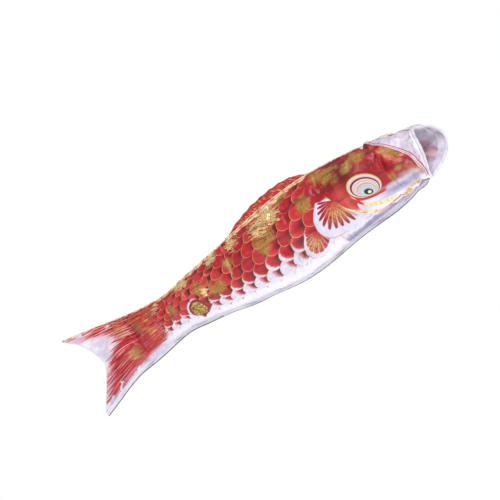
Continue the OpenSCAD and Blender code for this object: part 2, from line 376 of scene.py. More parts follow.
class Cloth:
    """A cloth material being painted: its coordinates, its colour so far and its foil."""

    def __init__(self, name):
        self.material = bpy.data.materials.new(name)
        self.material.use_nodes = True
        self.tree = self.material.node_tree
        self.tree.nodes.clear()
        self.colour = None
        place = self.uv("print")
        self.s = place[0] * 1000.0
        self.v = place[1] * 1000.0
        self.f = self.uv("share")[0]
        self.place = self.vector(self.s, self.v, self.f * SHARE_SCALE)
        self.flat_place = self.vector(self.s, self.v)
        self.foil = None

    def node(self, kind, **settings):
        node = self.tree.nodes.new(kind)
        for key, value in settings.items():
            setattr(node, key, value)
        return node

    def uv(self, layer):
        split = self.node("ShaderNodeSeparateXYZ")
        self.tree.links.new(self.node("ShaderNodeUVMap", uv_map=layer).outputs[0], split.inputs[0])
        return Value(self.tree, split.outputs[0]), Value(self.tree, split.outputs[1])

    def vector(self, x, y, z=0.0):
        join = self.node("ShaderNodeCombineXYZ")
        for slot, value in zip(join.inputs, (x, y, z)):
            if isinstance(value, Value):
                self.tree.links.new(value.socket, slot)
            else:
                slot.default_value = value
        return join.outputs[0]

    def noise(self, at, seed=0.0, detail=2.0, rough=0.5):
        """Soft noise round 0.5 over a vector that counts in cells."""
        node = self.node("ShaderNodeTexNoise", noise_dimensions="4D")
        self.tree.links.new(at, node.inputs["Vector"])
        node.inputs["W"].default_value = seed
        node.inputs["Scale"].default_value = 1.0
        node.inputs["Detail"].default_value = detail
        node.inputs["Roughness"].default_value = rough
        return Value(self.tree, node.outputs[0])

    def scaled(self, per_s, per_v, per_f=0.0, lean=0.0):
        """The place on the cloth turned by lean degrees, in cells of the given sizes."""
        turned = self.node("ShaderNodeMapping", vector_type="TEXTURE")
        turned.inputs["Rotation"].default_value = (0, 0, math.radians(lean))
        turned.inputs["Scale"].default_value = (per_s, per_v, per_f)
        self.tree.links.new(self.place, turned.inputs["Vector"])
        return turned.outputs[0]

    def grain(self, long, wide, seed=0.0, detail=2.0, lean=0.0):
        """Noise in cells of long by wide mm, turned by lean degrees."""
        return self.noise(self.scaled(long, wide, FLAT, lean), seed, detail)

    def streaks(self, long, count, seed=0.0, detail=3.0, rough=0.5):
        """Noise that runs along the body in count streaks from back to belly."""
        return self.noise(self.scaled(long, FLAT, SHARE_SCALE / count), seed, detail, rough)

    def speckle(self, size, seed=0.0, detail=2.0):
        return self.grain(size, size, seed, detail)

    def near(self, s, v, radius, softness=1.0):
        """1 at a place on the cloth, falling to 0 at radius."""
        node = self.node("ShaderNodeVectorMath", operation="DISTANCE")
        self.tree.links.new(self.flat_place, node.inputs[0])
        node.inputs[1].default_value = (s, v, 0)
        return step(Value(self.tree, node.outputs["Value"]), radius, radius * (1 - softness))

    def blobs(self, places, softness=1.0):
        """The strongest of several near() patches."""
        total = None
        for s, v, radius in places:
            patch = self.near(s, v, radius, softness)
            total = patch if total is None else total.at_least(patch)
        return total

    def paint(self, colour, mask=None):
        """Lays a colour over what is painted so far."""
        node = self.node("ShaderNodeMix", data_type="RGBA")
        under, over = (slot for slot in node.inputs if slot.type == "RGBA")
        for slot, value in ((under, self.colour or colour), (over, colour)):
            if isinstance(value, tuple):
                slot.default_value = value
            else:
                self.tree.links.new(value, slot)
        if mask is not None:
            self.tree.links.new(mask.socket, node.inputs[0])
        self.colour = next(slot for slot in node.outputs if slot.type == "RGBA")

    def gild(self, mask):
        """Adds to where the cloth is metal foil."""
        self.foil = mask if self.foil is None else self.foil.at_least(mask)

    def bands(self, value, stops):
        """A run of colours over the value 0 to 1: each stop is a place and its colour."""
        ramp = self.node("ShaderNodeValToRGB")
        ramp.color_ramp.interpolation = "LINEAR"
        self.tree.links.new(value.socket, ramp.inputs[0])
        elements = ramp.color_ramp.elements
        while len(elements) < len(stops):
            elements.new(0.5)
        for element, (position, colour) in zip(elements, stops):
            element.position = position
            element.color = colour
        return ramp.outputs[0]

    def finish(self, roughness=0.42, crumple=0.35, weave=0.03, metal=0.3, sheen=0.2, crumple_size=26.0):
        """Joins the colour, foil and relief to the shader."""
        shader = self.node("ShaderNodeBsdfPrincipled")
        self.tree.links.new(self.colour, shader.inputs["Base Color"])
        shader.inputs["Sheen Weight"].default_value = sheen
        shader.inputs["Sheen Roughness"].default_value = 0.35
        shader.inputs["Specular IOR Level"].default_value = 0.5
        soft = self.speckle(40.0, 7.0)
        rough = soft * 0.16 + (roughness - 0.08)
        if self.foil is not None:
            rough = rough - self.foil * (roughness * 0.45)
            self.tree.links.new((self.foil * metal).socket, shader.inputs["Metallic"])
        self.tree.links.new(rough.socket, shader.inputs["Roughness"])
        turn = 2 * math.pi / WEAVE_PITCH
        thread = (self.s * turn).math("SINE") * (self.v * turn).math("SINE")
        ridges = abs(self.speckle(crumple_size, 3.0, 3.0) - 0.5)
        folds = abs(self.grain(crumple_size * 3.4, crumple_size * 1.3, 8.0, 2.0, lean=-24.0) - 0.5)
        height = thread * weave - ridges * crumple * 3.0 - folds * crumple * 9.0
        bump = self.node("ShaderNodeBump")
        bump.inputs["Strength"].default_value = 1.0
        bump.inputs["Distance"].default_value = MM
        self.tree.links.new(height.socket, bump.inputs["Height"])
        self.tree.links.new(bump.outputs[0], shader.inputs["Normal"])
        output = self.node("ShaderNodeOutputMaterial")
        self.tree.links.new(shader.outputs[0], output.inputs[0])
        return self.material


# ---- The print ----

WHITE = srgb(236, 233, 243)
LAVENDER = srgb(196, 184, 212)
MAUVE = srgb(142, 130, 162)
CRIMSON = srgb(184, 16, 38)
SCARLET = srgb(208, 34, 46)
ROSE = srgb(220, 84, 90)
CORAL = srgb(228, 92, 80)
BLOOD = srgb(140, 8, 26)
MAROON = srgb(86, 8, 22)
PEACH = srgb(240, 168, 122)
OLIVE = srgb(138, 108, 46)
GOLD = srgb(212, 172, 84)
PALE_GOLD = srgb(252, 236, 178)
PINK = srgb(236, 160, 170)
INK = srgb(24, 20, 26)
EYE_GREY = srgb(224, 214, 216)
COLLAR_SHADE = srgb(214, 204, 222)
FAN_HALO, FAN_WHITE, FAN_SHADE = srgb(226, 150, 120), srgb(226, 221, 240), srgb(204, 208, 232)
FAN_PINK = srgb(222, 190, 196)
FAN_LIGHT_EDGE, FAN_DARK_EDGE = srgb(214, 160, 110), srgb(90, 14, 20)
LEAF_WHITE, LEAF_BROWN, LEAF_GOLD = srgb(222, 214, 236), srgb(120, 66, 32), srgb(222, 198, 76)
TAIL_CORAL, TAIL_PINK, TAIL_ROSE = srgb(236, 110, 112), srgb(240, 176, 180), srgb(206, 120, 138)
SEAM_SHADE, EDGE_SHADE, DEEP_EDGE_SHADE = srgb(150, 140, 170), srgb(84, 72, 92), srgb(62, 34, 44)

SCALE_ROWS = 7.6                # rows of scales round one side
FIRST_SCALE = 41.0              # length of a scale at the gills, mm
SCALE_TAPER = 0.033             # how much shorter the scales get for each mm behind the gills
SCALES_START = -260.0
SCALE_LONG, SCALE_TALL = 0.74, 0.74
SCALE_LEAN = 0.32               # how far a scale's tip leans to the belly, in scales


def scale_field(c):
    """Overlapping scales: depth behind each rounded edge, edge distance and a number per scale."""
    pitch = (c.s - SCALES_START) * SCALE_TAPER + FIRST_SCALE
    along = (pitch / FIRST_SCALE).at_least(0.1).math("LOGARITHM", math.e) / SCALE_TAPER
    rows = c.f * SCALE_ROWS
    row = rows.math("FLOOR")
    off_centre = rows - row - 0.5
    side = off_centre.math("SIGN")
    odd = (row * 0.5).math("FRACT") * 2.0

    def one_row(offset_v, shift):
        reach = (1.0 - (offset_v / SCALE_TALL)**2.0).at_least(0.0).math("SQRT")
        place = along + reach * SCALE_LONG + offset_v * SCALE_LEAN - shift
        centre = place.math("FLOOR")
        return reach, place - centre, centre + shift

    reach_a, depth_a, centre_a = one_row(off_centre, odd * 0.5)
    reach_b, depth_b, centre_b = one_row(off_centre - side, 0.5 - odd * 0.5)
    hidden = abs(off_centre - side).above(SCALE_TALL) * 10.0
    top = (centre_b - hidden).above(centre_a)
    depth = pick(top, depth_a, depth_b)
    edge = depth * pick(top, reach_a, reach_b)
    number = pick(top, centre_a, centre_b) * 0.731 + pick(top, row, row + side) * 1.377
    return depth, edge, (number.math("SINE") * 91.7).math("FRACT")


# Dull and bright patches of gold foil: place on the print, height on the cloth and radius, mm
OLIVE_PATCHES = [
    (-62, 26, 20), (-70, -4, 15), (-77, 42, 24), (-95, -15, 18), (-142, 65, 36), (-168, 56, 32),
    (-216, 68, 44), (-244, 84, 36), (-294, 40, 36), (-342, 98, 34), (-398, 32, 30), (-424, 20, 38),
    (-520, 34, 26), (-568, -2, 34), (-612, 18, 24), (-700, 10, 22)]
BRIGHT_PATCHES = [
    (-368, 64, 34), (-392, 86, 48), (-414, 62, 42), (-494, 70, 30), (-560, 68, 30), (-600, 4, 18),
    (-648, 50, 24), (-664, 56, 24), (-744, 42, 24)]


def paint_scales(c):
    """Crimson scales with gold edges; the lowest row is white with red tips."""
    depth, edge, number = scale_field(c)
    tone = c.speckle(64.0, 1.0, 3.0)
    region = step(c.s, -262.0, -270.0) * step(c.s, -790.0, -775.0)
    below = c.f - step(c.s, -400.0, -560.0) * 0.03 - 0.70
    white_to = below / 0.16 * 0.55 + 0.5
    c.paint(CRIMSON, region)
    c.paint(SCARLET, region * step(tone, 0.46, 0.62) * 0.8)
    c.paint(CORAL, region * c.blobs([(-615, 12, 60), (-690, 14, 44), (-655, 40, 40)]) * 0.65)
    c.paint(ROSE, region * step(edge, 0.4, 0.0) * step(number, 0.3, 0.9) * 0.7)
    grain = c.grain(9.0, 5.0, 21.0, 3.0)
    c.paint(BLOOD, region * step(depth + grain * 0.5, 0.7, 1.2) * 0.85)
    c.paint(MAROON, region * step(depth + number * 0.4 + tone * 0.3, 1.0, 1.4) * 0.85)
    mesh = step(c.grain(1.6, 1.6, 33.0), 0.52, 0.6) * region
    c.paint(BLOOD, mesh * 0.4)
    c.paint(CORAL, mesh * step(depth, 0.45, 0.1) * 0.5)
    streak = (c.grain(14.0, 2.0, 2.0, lean=18.0) - 0.5) * 0.5
    bare = region * step(depth + streak - white_to, 0.1, -0.1)
    c.paint(PINK, region * step(depth + streak - white_to, 0.32, 0.05) * step(below, -0.1, 0.0) * 0.7)
    c.paint(WHITE, bare)
    c.paint(LAVENDER, bare * step(streak, -0.1, 0.1) * 0.7 * step(below, 0.2, 0.05))
    line = region * step(edge, 0.055, 0.02) * step(below, 0.03, -0.04)
    c.paint(PEACH, line * 0.6)
    c.paint(GOLD, line * step(number, 0.45, 0.6) * 0.8)
    lowest_red = step(below, -0.04, 0.03) * step(below, 0.16, 0.1)
    c.paint(MAUVE, region * step(edge, 0.05, 0.0) * lowest_red * 0.6)
    c.gild(line * step(number, 0.4, 0.6) * 0.6)


def head_edge(c):
    """How far a point lies behind the print's rounded front edge, mm."""
    front = (c.v + 48.0).at_least(0.0)**1.85 * -0.00977 - 22.5
    return front - c.s


def lid_line(c):
    """Height on the cloth of the line that cuts off the eye's lower side."""
    return ((c.s + 135.0)**2.0 / 186.0).at_most(16.0) - 30.0


def paint_head(c):
    """The red head: crimson with dark hollows and a painted highlight along the fold that runs down to the
    mouth.
    """
    behind = head_edge(c)
    patchy = c.speckle(30.0, 4.0, 4.0)
    cheek = step(c.s, -118.0, -45.0) * 9.0 - step(c.s, -48.0, -24.0) * 26.0 - 29.0
    under_eye = step(c.s, -112.0, -126.0)
    cheek = pick(under_eye, cheek, lid_line(c) - 4.0)
    cheek = pick(step(c.s, -184.0, -196.0), cheek, lower_lip(c))
    blur = step(c.s, -135.0, -85.0) * 9.0 + 2.5
    above = step((c.v - cheek) / blur, -1.0, 1.0)
    region = step(c.s, -292.0, -272.0) * step(behind, 6.5, 8.0)
    head = region * above
    c.paint(CRIMSON, head)
    c.paint(SCARLET, head * step(patchy, 0.5, 0.64) * 0.7)
    c.paint(CORAL, head * c.blobs([(-206, 12, 34), (-218, -14, 26), (-236, -4, 20)]) * 0.8)
    c.paint(BLOOD, head * c.blobs([(-177, 44, 62), (-118, 30, 40), (-232, 40, 50), (-128, -2, 34)]) * 0.85)
    c.paint(MAROON, head * c.blobs([(-182, 46, 44), (-108, 74, 30), (-200, 96, 50)]) * 0.85)
    # Painted highlight: paler coral spots along the head's crease, down to the mouth
    crease_highlight = c.blobs([(-102, 62, 15), (-90, 42, 14), (-78, 22, 13),
                    (-66, 6, 12), (-54, -6, 11), (-44, -16, 10)])
    c.paint(CORAL, head * crease_highlight * 0.8)
    c.paint(PEACH, head * c.near(-44, -30, 30) * 0.8)
    c.paint(OLIVE, head * c.near(-60, -22, 26) * 0.5)
    c.paint(MAROON, head * step(c.grain(40.0, 14.0, 36.0, 4.0, lean=-20.0), 0.50, 0.66) * 0.6)
    c.paint(BLOOD, head * step(c.grain(1.8, 1.8, 37.0), 0.52, 0.6) * 0.45)


def paint_mouth_lines(c):
    """The two thin lines that frame the print at the lips."""
    behind = head_edge(c)
    collar = step(behind, 1.0, -1.0) * step(c.s, -150.0, -110.0)
    # Painted shade: the unprinted collar is tinted lavender, with mauve streaks where it folds
    c.paint(COLLAR_SHADE, collar * 0.85)
    c.paint(MAUVE, collar * step(c.grain(34.0, 9.0, 29.0, 4.0, lean=62.0), 0.48, 0.68) * 0.75)
    c.paint(WHITE, step(abs(c.s + 25.0), 3.4, 1.6) * 0.9)
    inside = step(c.v, -62.0, -52.0) * step(c.v, 96.0, 84.0)
    c.paint(CRIMSON, step(abs(behind - 1.2), 1.5, 0.7) * inside * 0.95)
    c.paint(PINK, step(abs(behind - 3.2), 1.2, 0.5) * inside * 0.5)
    c.paint(MAROON, step(abs(behind - 5.2), 1.0, 0.4) * inside * 0.75)


def upper_lip(c):
    """Height on the cloth of the upper lip's band, which drops and flattens towards the mouth."""
    return (((c.s + 189.0) / -24.0).math("EXPONENT") * 54.0).at_most(64.0) - 66.0


def lower_lip(c):
    """Height on the cloth of the lower lip's band, which starts high behind the cheek."""
    return (((c.s + 235.0) / -46.0).math("EXPONENT") * 104.0).at_most(112.0) - 91.0


def paint_cheek(c):
    """Lavender cheek, gold flecked lips and the red line of the jaw."""
    fleck = step(c.grain(5.0, 3.0, 9.0, 3.0), 0.48, 0.6)
    streak_v = abs(c.v + 41.0 + (c.s + 90.0) * 0.06)
    front = step(c.s, -28.0, -50.0)
    c.paint(LAVENDER, step(streak_v, 19.0, 2.0) * step(c.s, -150.0, -118.0) * front)
    c.paint(MAUVE, step(streak_v, 9.0, 0.0) * step(c.s, -130.0, -100.0) * step(c.s, -55.0, -80.0) * 0.6)
    upper, lower = upper_lip(c), lower_lip(c)
    between = step(upper - c.v, 0.0, 3.0) * step(c.v - lower, 0.0, 3.0)
    c.paint(CORAL, between * step(c.s, -186.0, -206.0) * 0.8)
    c.paint(SCARLET, between * step(c.s, -200.0, -214.0) * 0.8)
    c.paint(PINK, step(abs(c.v + 46.0), 14.0, 2.0) * step(c.s, -178.0, -196.0) * between * 0.6)
    on_upper = step(abs(c.v - upper - 2.0), 6.0, 3.5)
    on_upper = on_upper * step(c.s, -192.0, -184.0) * step(c.s, -102.0, -120.0)
    on_lower = step(abs(c.v - lower), 5.5, 3.0)
    on_lower = on_lower * step(c.s, -240.0, -232.0) * step(c.s, -148.0, -166.0)
    lips = on_upper.at_least(on_lower)
    c.paint(PALE_GOLD, lips)
    c.paint(GOLD, lips * fleck * 0.8)
    c.paint(CORAL, on_lower * step(c.speckle(12.0, 6.0), 0.5, 0.6) * 0.8)
    jaw = step(c.s, -118.0, -152.0) * -10.0 - 69.0
    on_jaw = step(abs(c.v - jaw), 3.2, 1.5) * step(c.s, -172.0, -158.0) * step(c.s, -84.0, -100.0)
    c.paint(PEACH, step(abs(c.v - jaw - 5.0), 6.0, 1.0) * step(c.s, -190.0, -166.0)
            * step(c.s, -130.0, -150.0) * 0.6)
    c.paint(SCARLET, on_jaw)
    corner = c.blobs([(-50, -60, 15), (-66, -59, 13), (-82, -66, 14), (-92, -70, 10)], 0.8)
    corner = corner * step(c.speckle(9.0, 30.0, 3.0) + corner * 0.4, 0.5, 0.66)
    c.paint(GOLD, corner * 0.9)
    c.paint(OLIVE, corner * fleck * 0.7)
    mouth_end = step(abs(c.v + 24.0 + (c.s + 184.0) * 1.4), 7.0, 4.0) * step(abs(c.s + 184.0), 9.0, 5.0)
    c.paint(SCARLET, mouth_end)
    c.gild((lips * fleck).at_least(corner * 0.6) * 0.6)


# Rings of the eye: share of the way out from the pupil, and colour
EYE_RINGS = [
    (0.00, OLIVE), (0.04, GOLD), (0.08, srgb(216, 196, 150)), (0.12, EYE_GREY),
    (0.21, srgb(206, 190, 196)), (0.235, srgb(150, 16, 48)), (0.32, srgb(128, 10, 44)),
    (0.345, EYE_GREY), (0.44, srgb(196, 186, 186)), (0.47, PEACH), (0.50, EYE_GREY),
    (0.58, srgb(200, 190, 190)), (0.62, srgb(204, 116, 92)), (0.66, EYE_GREY),
    (0.74, srgb(186, 180, 188)), (0.78, srgb(200, 214, 224)), (0.93, srgb(180, 198, 212)),
    (0.965, INK), (1.0, INK)]


def paint_eye(c):
    """Rings that shrink towards the pupil, which sits low, cut off below by the lid."""
    centre_s, centre_v, long, tall, lean = -154.5, -1.5, 37.0, 26.0, math.radians(-25)
    shrink = 0.78
    pupil = (1.5, -16.5)
    cos_l, sin_l = math.cos(lean), math.sin(lean)
    move = ((pupil[0] * cos_l + pupil[1] * sin_l) / long, (-pupil[0] * sin_l + pupil[1] * cos_l) / tall)
    ds, dv = c.s - centre_s, c.v - centre_v
    x = (ds * cos_l + dv * sin_l) / long
    y = (dv * cos_l - ds * sin_l) / tall
    a = move[0]**2 + move[1]**2 - shrink**2
    b = shrink - (x * move[0] + y * move[1])
    inside = x * x + y * y - 1.0
    ring = ((b * b - inside * a).at_least(0.0).math("SQRT") - b) / a
    open_eye = step(c.v - lid_line(c), 0.0, 1.2)
    rings = c.bands(ring.at_most(1.0).at_least(0.0), EYE_RINGS)
    c.paint(rings, step(ring, -0.01, 0.01) * open_eye)
    glint_x, glint_v = (c.s + 151.5) / 4.2, (c.v + 18.6) / 3.4
    c.paint(PALE_GOLD, step(glint_x * glint_x + glint_v * glint_v, 1.2, 0.7) * open_eye)
    lid = step(abs(c.v - lid_line(c) + 2.2), 4.0, 2.0) * step(abs(c.s + 153.0), 38.0, 28.0)
    c.paint(SCARLET, lid)


def paint_fan(c, apex, direction, spread, radius, rays, border, gold, lack, fill):
    """A printed fin: red rays that taper out from its root over white, with a pale border.

    lack gives how much shorter the fin is at its first and last ray; fill widens the rays.
    """
    turn = math.radians(direction)
    ds, dv = c.s - apex[0], c.v - apex[1]
    out = ds * math.cos(turn) + dv * math.sin(turn)
    across = dv * math.cos(turn) - ds * math.sin(turn)
    angle = across.math("ARCTAN2", out) * (180 / math.pi)
    share = angle / spread
    far = (out * out + across * across).math("SQRT")
    short = step(share, 0.2, -1.0) * lack[0] + step(share, 0.2, 1.0) * lack[1]
    r = far / ((1.0 - short) * radius)
    within = step(abs(share), 1.04, 0.98)
    size = (step(share, -1.3, -0.3) * 0.8 + 0.2) * (border / radius)
    rim = r - size
    shown = within * step(share, 0.75, 0.3)
    c.paint(FAN_HALO, shown * step(rim, 1.06, 1.03) * 0.9)
    c.paint(FAN_WHITE, within * step(rim, 1.02, 0.99))
    shade = step(abs(rim - 0.93), 0.08, 0.0) * step(share, 0.3, -0.2)
    c.paint(FAN_SHADE, within * shade * 0.7)
    spokes = abs((share * (rays / 2.0) + 0.25).math("FRACT") - 0.5) * 2.0
    wobble = c.noise(c.vector(angle / 9.0, far / 12.0), 3.0) * 0.4
    ray = step(1.3 - r**2.2 * 1.1 + wobble + fill - spokes, 0.05, 0.25) * step(r, 1.03, 0.95) * within
    c.paint(CRIMSON, ray)
    c.paint(BLOOD, ray * step(spokes, 0.55, 0.15) * step(r, 0.25, 0.6) * 0.8)
    thread = step(c.noise(c.vector(angle / 3.2, far / 16.0), 8.0), 0.44, 0.55)
    cross = step(c.grain(2.0, 6.0, 31.0), 0.5, 0.6)
    middle = c.near(gold[0], gold[1], gold[2]) * within * (thread * 0.6).at_least(cross * 0.9)
    between = step(spokes, 0.82, 0.95) * step(r, 0.3, 0.5) * step(r, 0.95, 0.8)
    c.paint(FAN_PINK, within * between)
    c.paint(GOLD, middle)
    c.paint(PALE_GOLD, middle * step(c.grain(2.5, 2.5, 5.0), 0.5, 0.62))
    edge = within * step(abs(share), 0.93, 0.99) * step(r, 1.0, 0.9)
    c.paint(FAN_LIGHT_EDGE, edge * step(share, 0.0, 0.5) * 0.9)
    c.paint(FAN_DARK_EDGE, edge * step(share, 0.0, -0.5) * 0.5)
    c.gild(middle)


def paint_anal_fin(c):
    """A round leaf of gold veins on brown, with a red rim and a red stem that runs out from it."""
    ds, dv = c.s + 638.0, c.v + 24.0
    far = (ds * ds + dv * dv).math("SQRT")
    behind = step(ds, 16.0, -6.0)
    c.paint(LEAF_WHITE, step(far, 30.0, 27.5) * behind)
    c.paint(BLOOD, step(abs(far - 21.5), 3.8, 2.2))
    along = (ds - 34.0) * -0.857 - (dv + 2.0) * 0.514
    off_line = abs((ds - 34.0) * 0.514 - (dv + 2.0) * 0.857)
    c.paint(BLOOD, step(off_line, 5.5, 3.5) * step(along, -2.0, 2.0) * step(along, 56.0, 48.0))
    leaf = step(far, 21.0, 17.0)
    c.paint(LEAF_BROWN, leaf)
    vein = step(c.grain(9.0, 2.2, 2.0, lean=30.0), 0.42, 0.54)
    c.paint(OLIVE, leaf * vein)
    bright = leaf * vein * step(c.grain(8.0, 5.0, 4.0), 0.42, 0.56)
    c.paint(LEAF_GOLD, bright)
    c.gild(bright)


TAIL_GOLD_PATCHES = [
    (-744, 42, 24), (-756, 34, 26), (-764, -14, 28), (-782, 18, 34), (-796, 46, 30),
    (-826, 58, 24), (-838, -28, 30), (-846, 34, 30), (-868, 80, 26)]


def paint_tail(c):
    """Red rays that run out from the tail's root, with gold between them, and fade at the fork."""
    streak = c.streaks(130.0, 24, 1.0, 3.0, 0.6)
    fine = c.streaks(50.0, 54, 6.0)
    region = step(c.s + (streak - 0.5) * 160.0, -742.0, -752.0)
    end = step(c.f, 0.24, 0.10) * -38.0 + step(c.f, 0.34, 0.62) * -52.0 + (streak - 0.5) * 130.0 - 872.0
    run = c.s - end
    low_edge = step(c.s, -800.0, -850.0) * 0.10 + 0.85 + (fine - 0.5) * 0.16
    upper = step(c.f - low_edge, 0.05, -0.05)
    c.paint(WHITE, region)
    c.paint(LAVENDER, region * step(c.speckle(34.0, 2.0, 3.0), 0.40, 0.60) * 0.7)
    fade = region * upper
    c.paint(PINK, fade * step(run, -34.0, 20.0) * step(fine, 0.30, 0.55))
    red = fade * step(run + (fine - 0.5) * 60.0, -6.0, 22.0)
    c.paint(CRIMSON, red)
    c.paint(SCARLET, red * step(streak, 0.52, 0.40) * 0.8)
    c.paint(TAIL_CORAL, red * step(fine, 0.45, 0.34) * step(run, 90.0, 20.0) * 0.9)
    c.paint(BLOOD, red * step(fine, 0.52, 0.60) * 0.9)
    c.paint(MAROON, red * step(c.streaks(60.0, 40, 17.0), 0.54, 0.64) * 0.9)
    c.paint(CORAL, red * step(streak, 0.42, 0.34) * 0.7)
    pale = step(c.streaks(90.0, 46, 23.0), 0.55, 0.62) * red
    c.paint(TAIL_PINK, pale * step(c.s, -770.0, -850.0) * 0.85)
    threads = step(c.streaks(26.0, 60, 11.0, 2.0), 0.53, 0.60)
    gold = red * threads * step(c.blobs(TAIL_GOLD_PATCHES), 0.08, 0.4)
    c.paint(GOLD, gold * 0.9)
    dull = c.blobs([(-836, -30, 26), (-796, 24, 24), (-752, 36, 22)])
    c.paint(OLIVE, red * dull * step(fine, 0.62, 0.45) * 0.8)
    edge = region * step(abs(c.f - 0.93), 0.05, 0.01) * step(c.s, -905.0, -880.0)
    c.paint(TAIL_ROSE, edge * step(c.s, -838.0, -858.0) * 0.9)
    c.gild(gold)


def paint_foil(c):
    """Gold foil brushed over the scales and head in broken patches of fine diagonal strokes."""
    red_area = step(c.s, -760.0, -740.0) * step(c.f, 0.66, 0.6) * step(head_edge(c), 8.0, 12.0)
    ragged = (c.speckle(16.0, 12.0, 6.0) - 0.5) * 2.4
    hatch = step(c.grain(1.3, 4.2, 13.0, lean=45.0), 0.42, 0.56)
    spread = step(c.blobs(OLIVE_PATCHES) + ragged, 0.15, 1.0) * red_area
    c.paint(OLIVE, spread * 0.72)
    c.paint(GOLD, spread * hatch * 0.62)
    bright = c.blobs(BRIGHT_PATCHES)
    shine = step(c.grain(16.0, 4.0, 14.0, 5.0, lean=-12.0) + bright * 0.26, 0.58, 0.72) * red_area
    shine = shine * step(bright, 0.02, 0.3)
    c.paint(GOLD, shine * 0.8)
    c.paint(PALE_GOLD, shine * step(hatch, 0.2, 0.8))
    c.gild((spread * hatch * 0.6).at_least(shine))
    # Painted shade: long maroon streaks where folds fall in shade over the red
    folds = step(c.grain(90.0, 12.0, 38.0, 4.0, lean=-6.0), 0.52, 0.68) * red_area
    c.paint(MAROON, folds * 0.55)


def paint_back(c):
    """The pale gold edge of the print beside the back seam: printed gold foil with a painted highlight
    along the back.
    """
    wide = step(c.s, -470.0, -400.0) * step(c.s, -330.0, -360.0)
    width = wide * 0.05 + c.speckle(60.0, 15.0) * 0.05 + 0.012
    on = step(c.f / width, 1.15, 0.8) * step(c.s, -250.0, -290.0) * step(c.s, -740.0, -705.0)
    broken = step(c.grain(16.0, 5.0, 16.0, 3.0), 0.36, 0.5)
    # Printed gold foil with a painted highlight: the pale band along the back's curve
    c.paint(CORAL, on * 0.7)
    c.paint(PALE_GOLD, on * broken)
    c.gild(on * broken)


def printed_satin():
    """The outer face: white satin with the carp printed on it, laid down from the ground up."""
    c = Cloth("printed_satin")
    c.paint(WHITE)
    # Painted shade: the belly side darkens to lavender, then to mauve near the belly seam
    c.paint(LAVENDER, step(c.f, 0.86, 0.97) * 0.8)
    c.paint(MAUVE, step(c.f + (c.grain(40.0, 9.0, 27.0) - 0.5) * 0.05, 0.875, 0.95) * 0.9)
    c.paint(LAVENDER, step(c.speckle(55.0, 20.0, 3.0), 0.5, 0.66) * 0.45)
    c.paint(LAVENDER, step(c.grain(120.0, 14.0, 39.0, 4.0), 0.50, 0.64) * 0.7)
    paint_scales(c)
    paint_head(c)
    paint_foil(c)
    paint_cheek(c)
    paint_eye(c)
    paint_fan(c, (-297.0, -26.0), 225.0, 62.0, 55.0, 8, 12.0, (-321.0, -48.0, 32.0), (0.5, 0.35), 0.5)
    paint_fan(c, (-228.0, 8.0), 224.0, 67.0, 68.0, 10, 18.0, (-237.0, -22.0, 34.0), (0.45, 0.0), 0.05)
    paint_anal_fin(c)
    paint_tail(c)
    paint_back(c)
    paint_mouth_lines(c)
    return c.finish()


def plain_satin(name, colour, shade, roughness=0.45, crumple=0.5):
    """Unprinted cloth with a soft change of tone."""
    c = Cloth(name)
    c.paint(colour)
    c.paint(shade, step(c.speckle(30.0, 1.0, 3.0), 0.42, 0.66) * 0.7)
    return c.finish(roughness=roughness, crumple=crumple)


# ---- Folds in the cloth ----

# Creases as paths over the cloth: place on the print and height on the cloth, mm
HEAD_CREASE = [(-116, 90), (-93, 45), (-78, 16), (-57, -3), (-43, -18), (-30, -26)]
CHEEK_CREASE = [(-205, -92), (-150, -84), (-96, -84)]
GILL_CREASE = [(-262, 104), (-276, 40), (-268, -30), (-290, -96)]
PIPING_H = 3.0                  # height of the back's piping, mm
FLANGE_H = 10.0                 # height of the allowance under the belly, mm
FIN_START, FIN_END, FIN_H, FIN_SCALLOPS = -242.0, -487.0, 24.0, 9
BLEND_REACH = 48.0              # the cloth bends this far before and behind each bend, mm


def waves(x, y, seed, count=14):
    """Smooth repeatable noise, about -1 to 1; x and y are in wavelengths."""
    rng = np.random.default_rng(seed)
    turns, phases = rng.uniform(0, 2 * math.pi, (2, count))
    sizes = rng.uniform(0.6, 1.5, count)
    total = np.zeros(np.broadcast(x, y).shape)
    for turn, phase, size in zip(turns, phases, sizes):
        total += np.sin(2 * math.pi * size * (x * math.cos(turn) + y * math.sin(turn)) + phase)
    return total / math.sqrt(count)


def ridge(s, v, path, width):
    """1 on a path over the cloth, falling to 0 at width from it."""
    nearest = np.full(s.shape, 1e9)
    for (s0, v0), (s1, v1) in zip(path, path[1:]):
        t = ((s - s0) * (s1 - s0) + (v - v0) * (v1 - v0)) / ((s1 - s0)**2 + (v1 - v0)**2)
        t = np.clip(t, 0, 1)
        nearest = np.minimum(nearest, np.hypot(s - s0 - t * (s1 - s0), v - v0 - t * (v1 - v0)))
    return smooth(width - nearest, 0, width)


def relief(cloth, seed):
    """How far the cloth stands out from its smooth shape, mm."""
    s, v, f = cloth[..., 0], cloth[..., 1], cloth[..., 2]
    from_seam = np.minimum(f, 1 - f) * 2 * np.abs(cloth[:, :1, 1])
    crease = ridge(s, v, HEAD_CREASE, 8) * 6 - ridge(s + 12, v, HEAD_CREASE, 14) * 3.5
    crease = crease - ridge(s, v, CHEEK_CREASE, 12) * 2 + ridge(s, v, GILL_CREASE, 14) * 1.5
    hem_pull = smooth(s, -100, -30) * smooth(-s, 23, 34)
    gathers = hem_pull * (waves(f * 7, s / 90, seed) * 3 + waves(f * 3, s / 50, seed + 5) * 3)
    pucker = smooth(16 - from_seam, 0, 12) * smooth(from_seam, 0.5, 5)
    puckers = pucker * waves(s / 24, from_seam / 40, seed + 1) * 1.5
    loose = smooth(-s, 80, 160) * smooth(s, -820, -720)
    folds = waves(s / 150, v / 120, seed + 2) * 2.0 + waves(s / 60, v / 75, seed + 3) * 1.1
    folds = folds - np.abs(waves(s / 90 + v / 70, v / 45 - s / 300, seed + 4)) * 1.6
    return crease + gathers + puckers + folds * loose * np.sin(math.pi * f)


